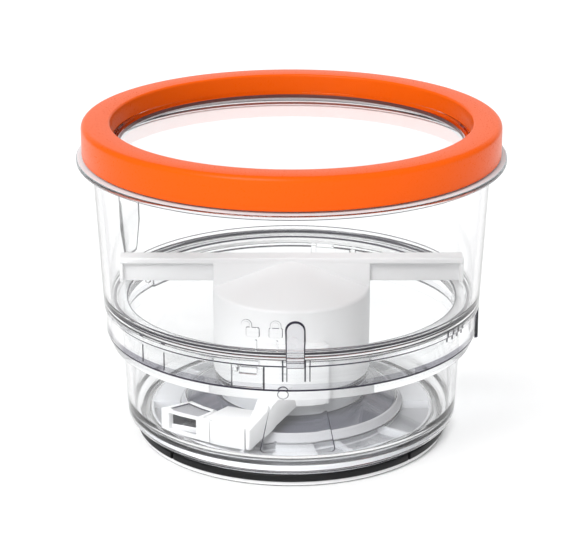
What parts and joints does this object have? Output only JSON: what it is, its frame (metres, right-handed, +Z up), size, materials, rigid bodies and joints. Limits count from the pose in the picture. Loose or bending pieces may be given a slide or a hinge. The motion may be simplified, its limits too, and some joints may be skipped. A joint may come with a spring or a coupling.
{
  "type": "ice cream maker",
  "caption": "Clear round ice cream maker bowl with a driven white mixing arm and scraper, a clear upper bowl that twists on, and a push-on orange lid ring with a window.",
  "frame": {"origin": "middle of the foot, on the surface it stands on", "axes": "+Z up along the drive axis, -Y towards the front (lock symbols), +X to the right"},
  "size_m": [0.1644, 0.1644, 0.1257],
  "materials": {
    "clear_plastic": "clear, polished",
    "window_plastic": "clear, polished",
    "orange_plastic": "satin",
    "white_plastic": "satin",
    "black_rubber": "matte",
    "clear_silicone": "matte",
    "black_plastic": "matte",
    "bearing_plastic": "matte",
    "steel": "ground"
  },
  "bodies": {
    "cup": {"cup": "clear_plastic", "foot_seal": "black_rubber", "base_insert": "white_plastic", "bearing_housing": "white_plastic", "base_screws": "steel", "lower_bush": "bearing_plastic", "upper_bush": "bearing_plastic", "shaft_seal": "black_rubber"},
    "bowl": {"bowl": "clear_plastic", "bowl_seal": "clear_silicone"},
    "lid": {"lid_ring": "orange_plastic", "lid_window": "window_plastic", "lid_seal": "clear_silicone"},
    "spindle": {"spindle": "steel", "drive_coupling": "black_plastic", "coupling_pin": "steel", "thrust_washer": "bearing_plastic", "retaining_clip": "steel"},
    "dasher": {"dasher_hub": "white_plastic", "drive_insert": "black_plastic", "mixing_arm": "white_plastic", "arm_screws": "steel", "scraper": "white_plastic", "scraper_blade": "white_plastic", "blade_pins": "white_plastic"}
  },
  "joints": [
    {"name": "bowl_twist", "type": "hinge", "parent": "cup", "child": "bowl", "pos_m": [0, 0, 0.05], "axis": [0, 0, 1], "range_deg": [0, 6.5]},
    {"name": "lid_lift", "type": "slide", "parent": "bowl", "child": "lid", "axis": [0, 0, 1], "range_m": [0, 0.06]},
    {"name": "drive_spin", "type": "hinge", "parent": "cup", "child": "spindle", "pos_m": [0, 0, 0.03], "axis": [0, 0, 1], "continuous": true},
    {"name": "dasher_lift", "type": "slide", "parent": "spindle", "child": "dasher", "axis": [0, 0, 1], "range_m": [0, 0.04]}
  ]
}
